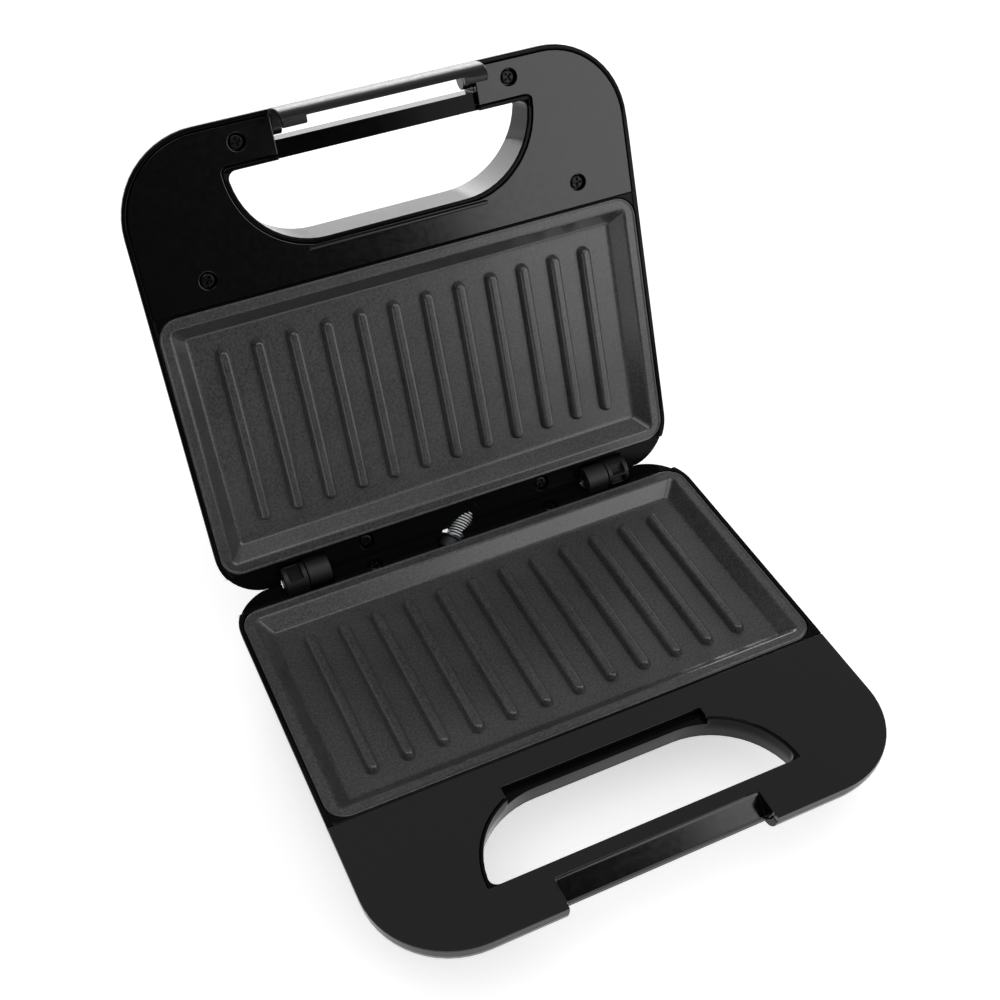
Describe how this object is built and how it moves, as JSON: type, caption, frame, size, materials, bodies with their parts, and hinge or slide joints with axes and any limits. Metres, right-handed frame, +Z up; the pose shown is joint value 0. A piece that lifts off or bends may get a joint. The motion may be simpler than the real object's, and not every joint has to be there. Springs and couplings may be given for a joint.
{
  "type": "contact grill",
  "caption": "Countertop contact grill standing open: ribbed plates in a base and a hinged lid, flat handles with D-shaped finger holes, closing clip and wound wiring conduit.",
  "frame": {"origin": "on the table, under the middle of the open grill's bounding box", "axes": "+Z up, -Y to the front where the handles are, +X to the right seen from the front"},
  "size_m": [0.2204, 0.2728, 0.2371],
  "materials": {
    "gloss_black": "polished, glossy black",
    "cover_black": "smooth black with a soft gloss",
    "nonstick": "cast, with a dark grey non-stick coating",
    "heater_sheath": "heat-tinted",
    "sheet_steel": "aluminised sheet",
    "ceramic": "matt ceramic",
    "rubber": "matt",
    "steel": "zinc plated",
    "bright_wire": "bright wire",
    "red_lens": "clear red",
    "green_lens": "clear green",
    "grey_plastic": "matt dark grey"
  },
  "bodies": {
    "base": {"base_shell": "gloss_black", "base_handle_cover": "cover_black", "lower_grill_plate": "nonstick", "lower_heating_element": "heater_sheath", "lower_heat_reflector": "sheet_steel", "thermostat": "ceramic", "thermal_fuse": "sheet_steel", "terminal_block": "ceramic", "cord_gland": "grey_plastic", "foot_front_left": "rubber", "base_screw_front_left": "steel", "foot_front_right": "rubber", "base_screw_front_right": "steel", "foot_rear_left": "rubber", "base_screw_rear_left": "steel", "foot_rear_right": "rubber", "base_screw_rear_right": "steel", "base_hinge_left": "grey_plastic", "hinge_pin_left": "steel", "base_rear_screw_left": "steel", "base_hinge_right": "grey_plastic", "hinge_pin_right": "steel", "base_rear_screw_right": "steel", "base_conduit_bush": "grey_plastic", "wiring_conduit": "bright_wire"},
    "lid": {"lid_screw_front_left": "steel", "lid_screw_front_right": "steel", "lid_screw_rear_left": "steel", "lid_screw_rear_right": "steel", "lid_outer_cover": "gloss_black", "lid_handle_cover": "cover_black", "upper_grill_plate": "nonstick", "upper_heating_element": "heater_sheath", "upper_heat_reflector": "sheet_steel", "power_lens": "red_lens", "ready_lens": "green_lens", "lid_hinge_left": "grey_plastic", "lid_rear_screw_left": "steel", "lid_hinge_right": "grey_plastic", "lid_rear_screw_right": "steel", "lid_conduit_bush": "grey_plastic"},
    "clip": {"closing_clip": "gloss_black"}
  },
  "joints": [
    {"name": "lid_hinge", "type": "hinge", "parent": "base", "child": "lid", "pos_m": [0, 0.05976, 0.0477], "axis": [1, 0, 0], "range_deg": [0, 109.8], "deforming": ["wiring_conduit"]},
    {"name": "clip_hinge", "type": "hinge", "parent": "lid", "child": "clip", "pos_m": [0, 0.13078, 0.22343], "axis": [1, 0, 0], "range_deg": [0, 6.5]}
  ]
}
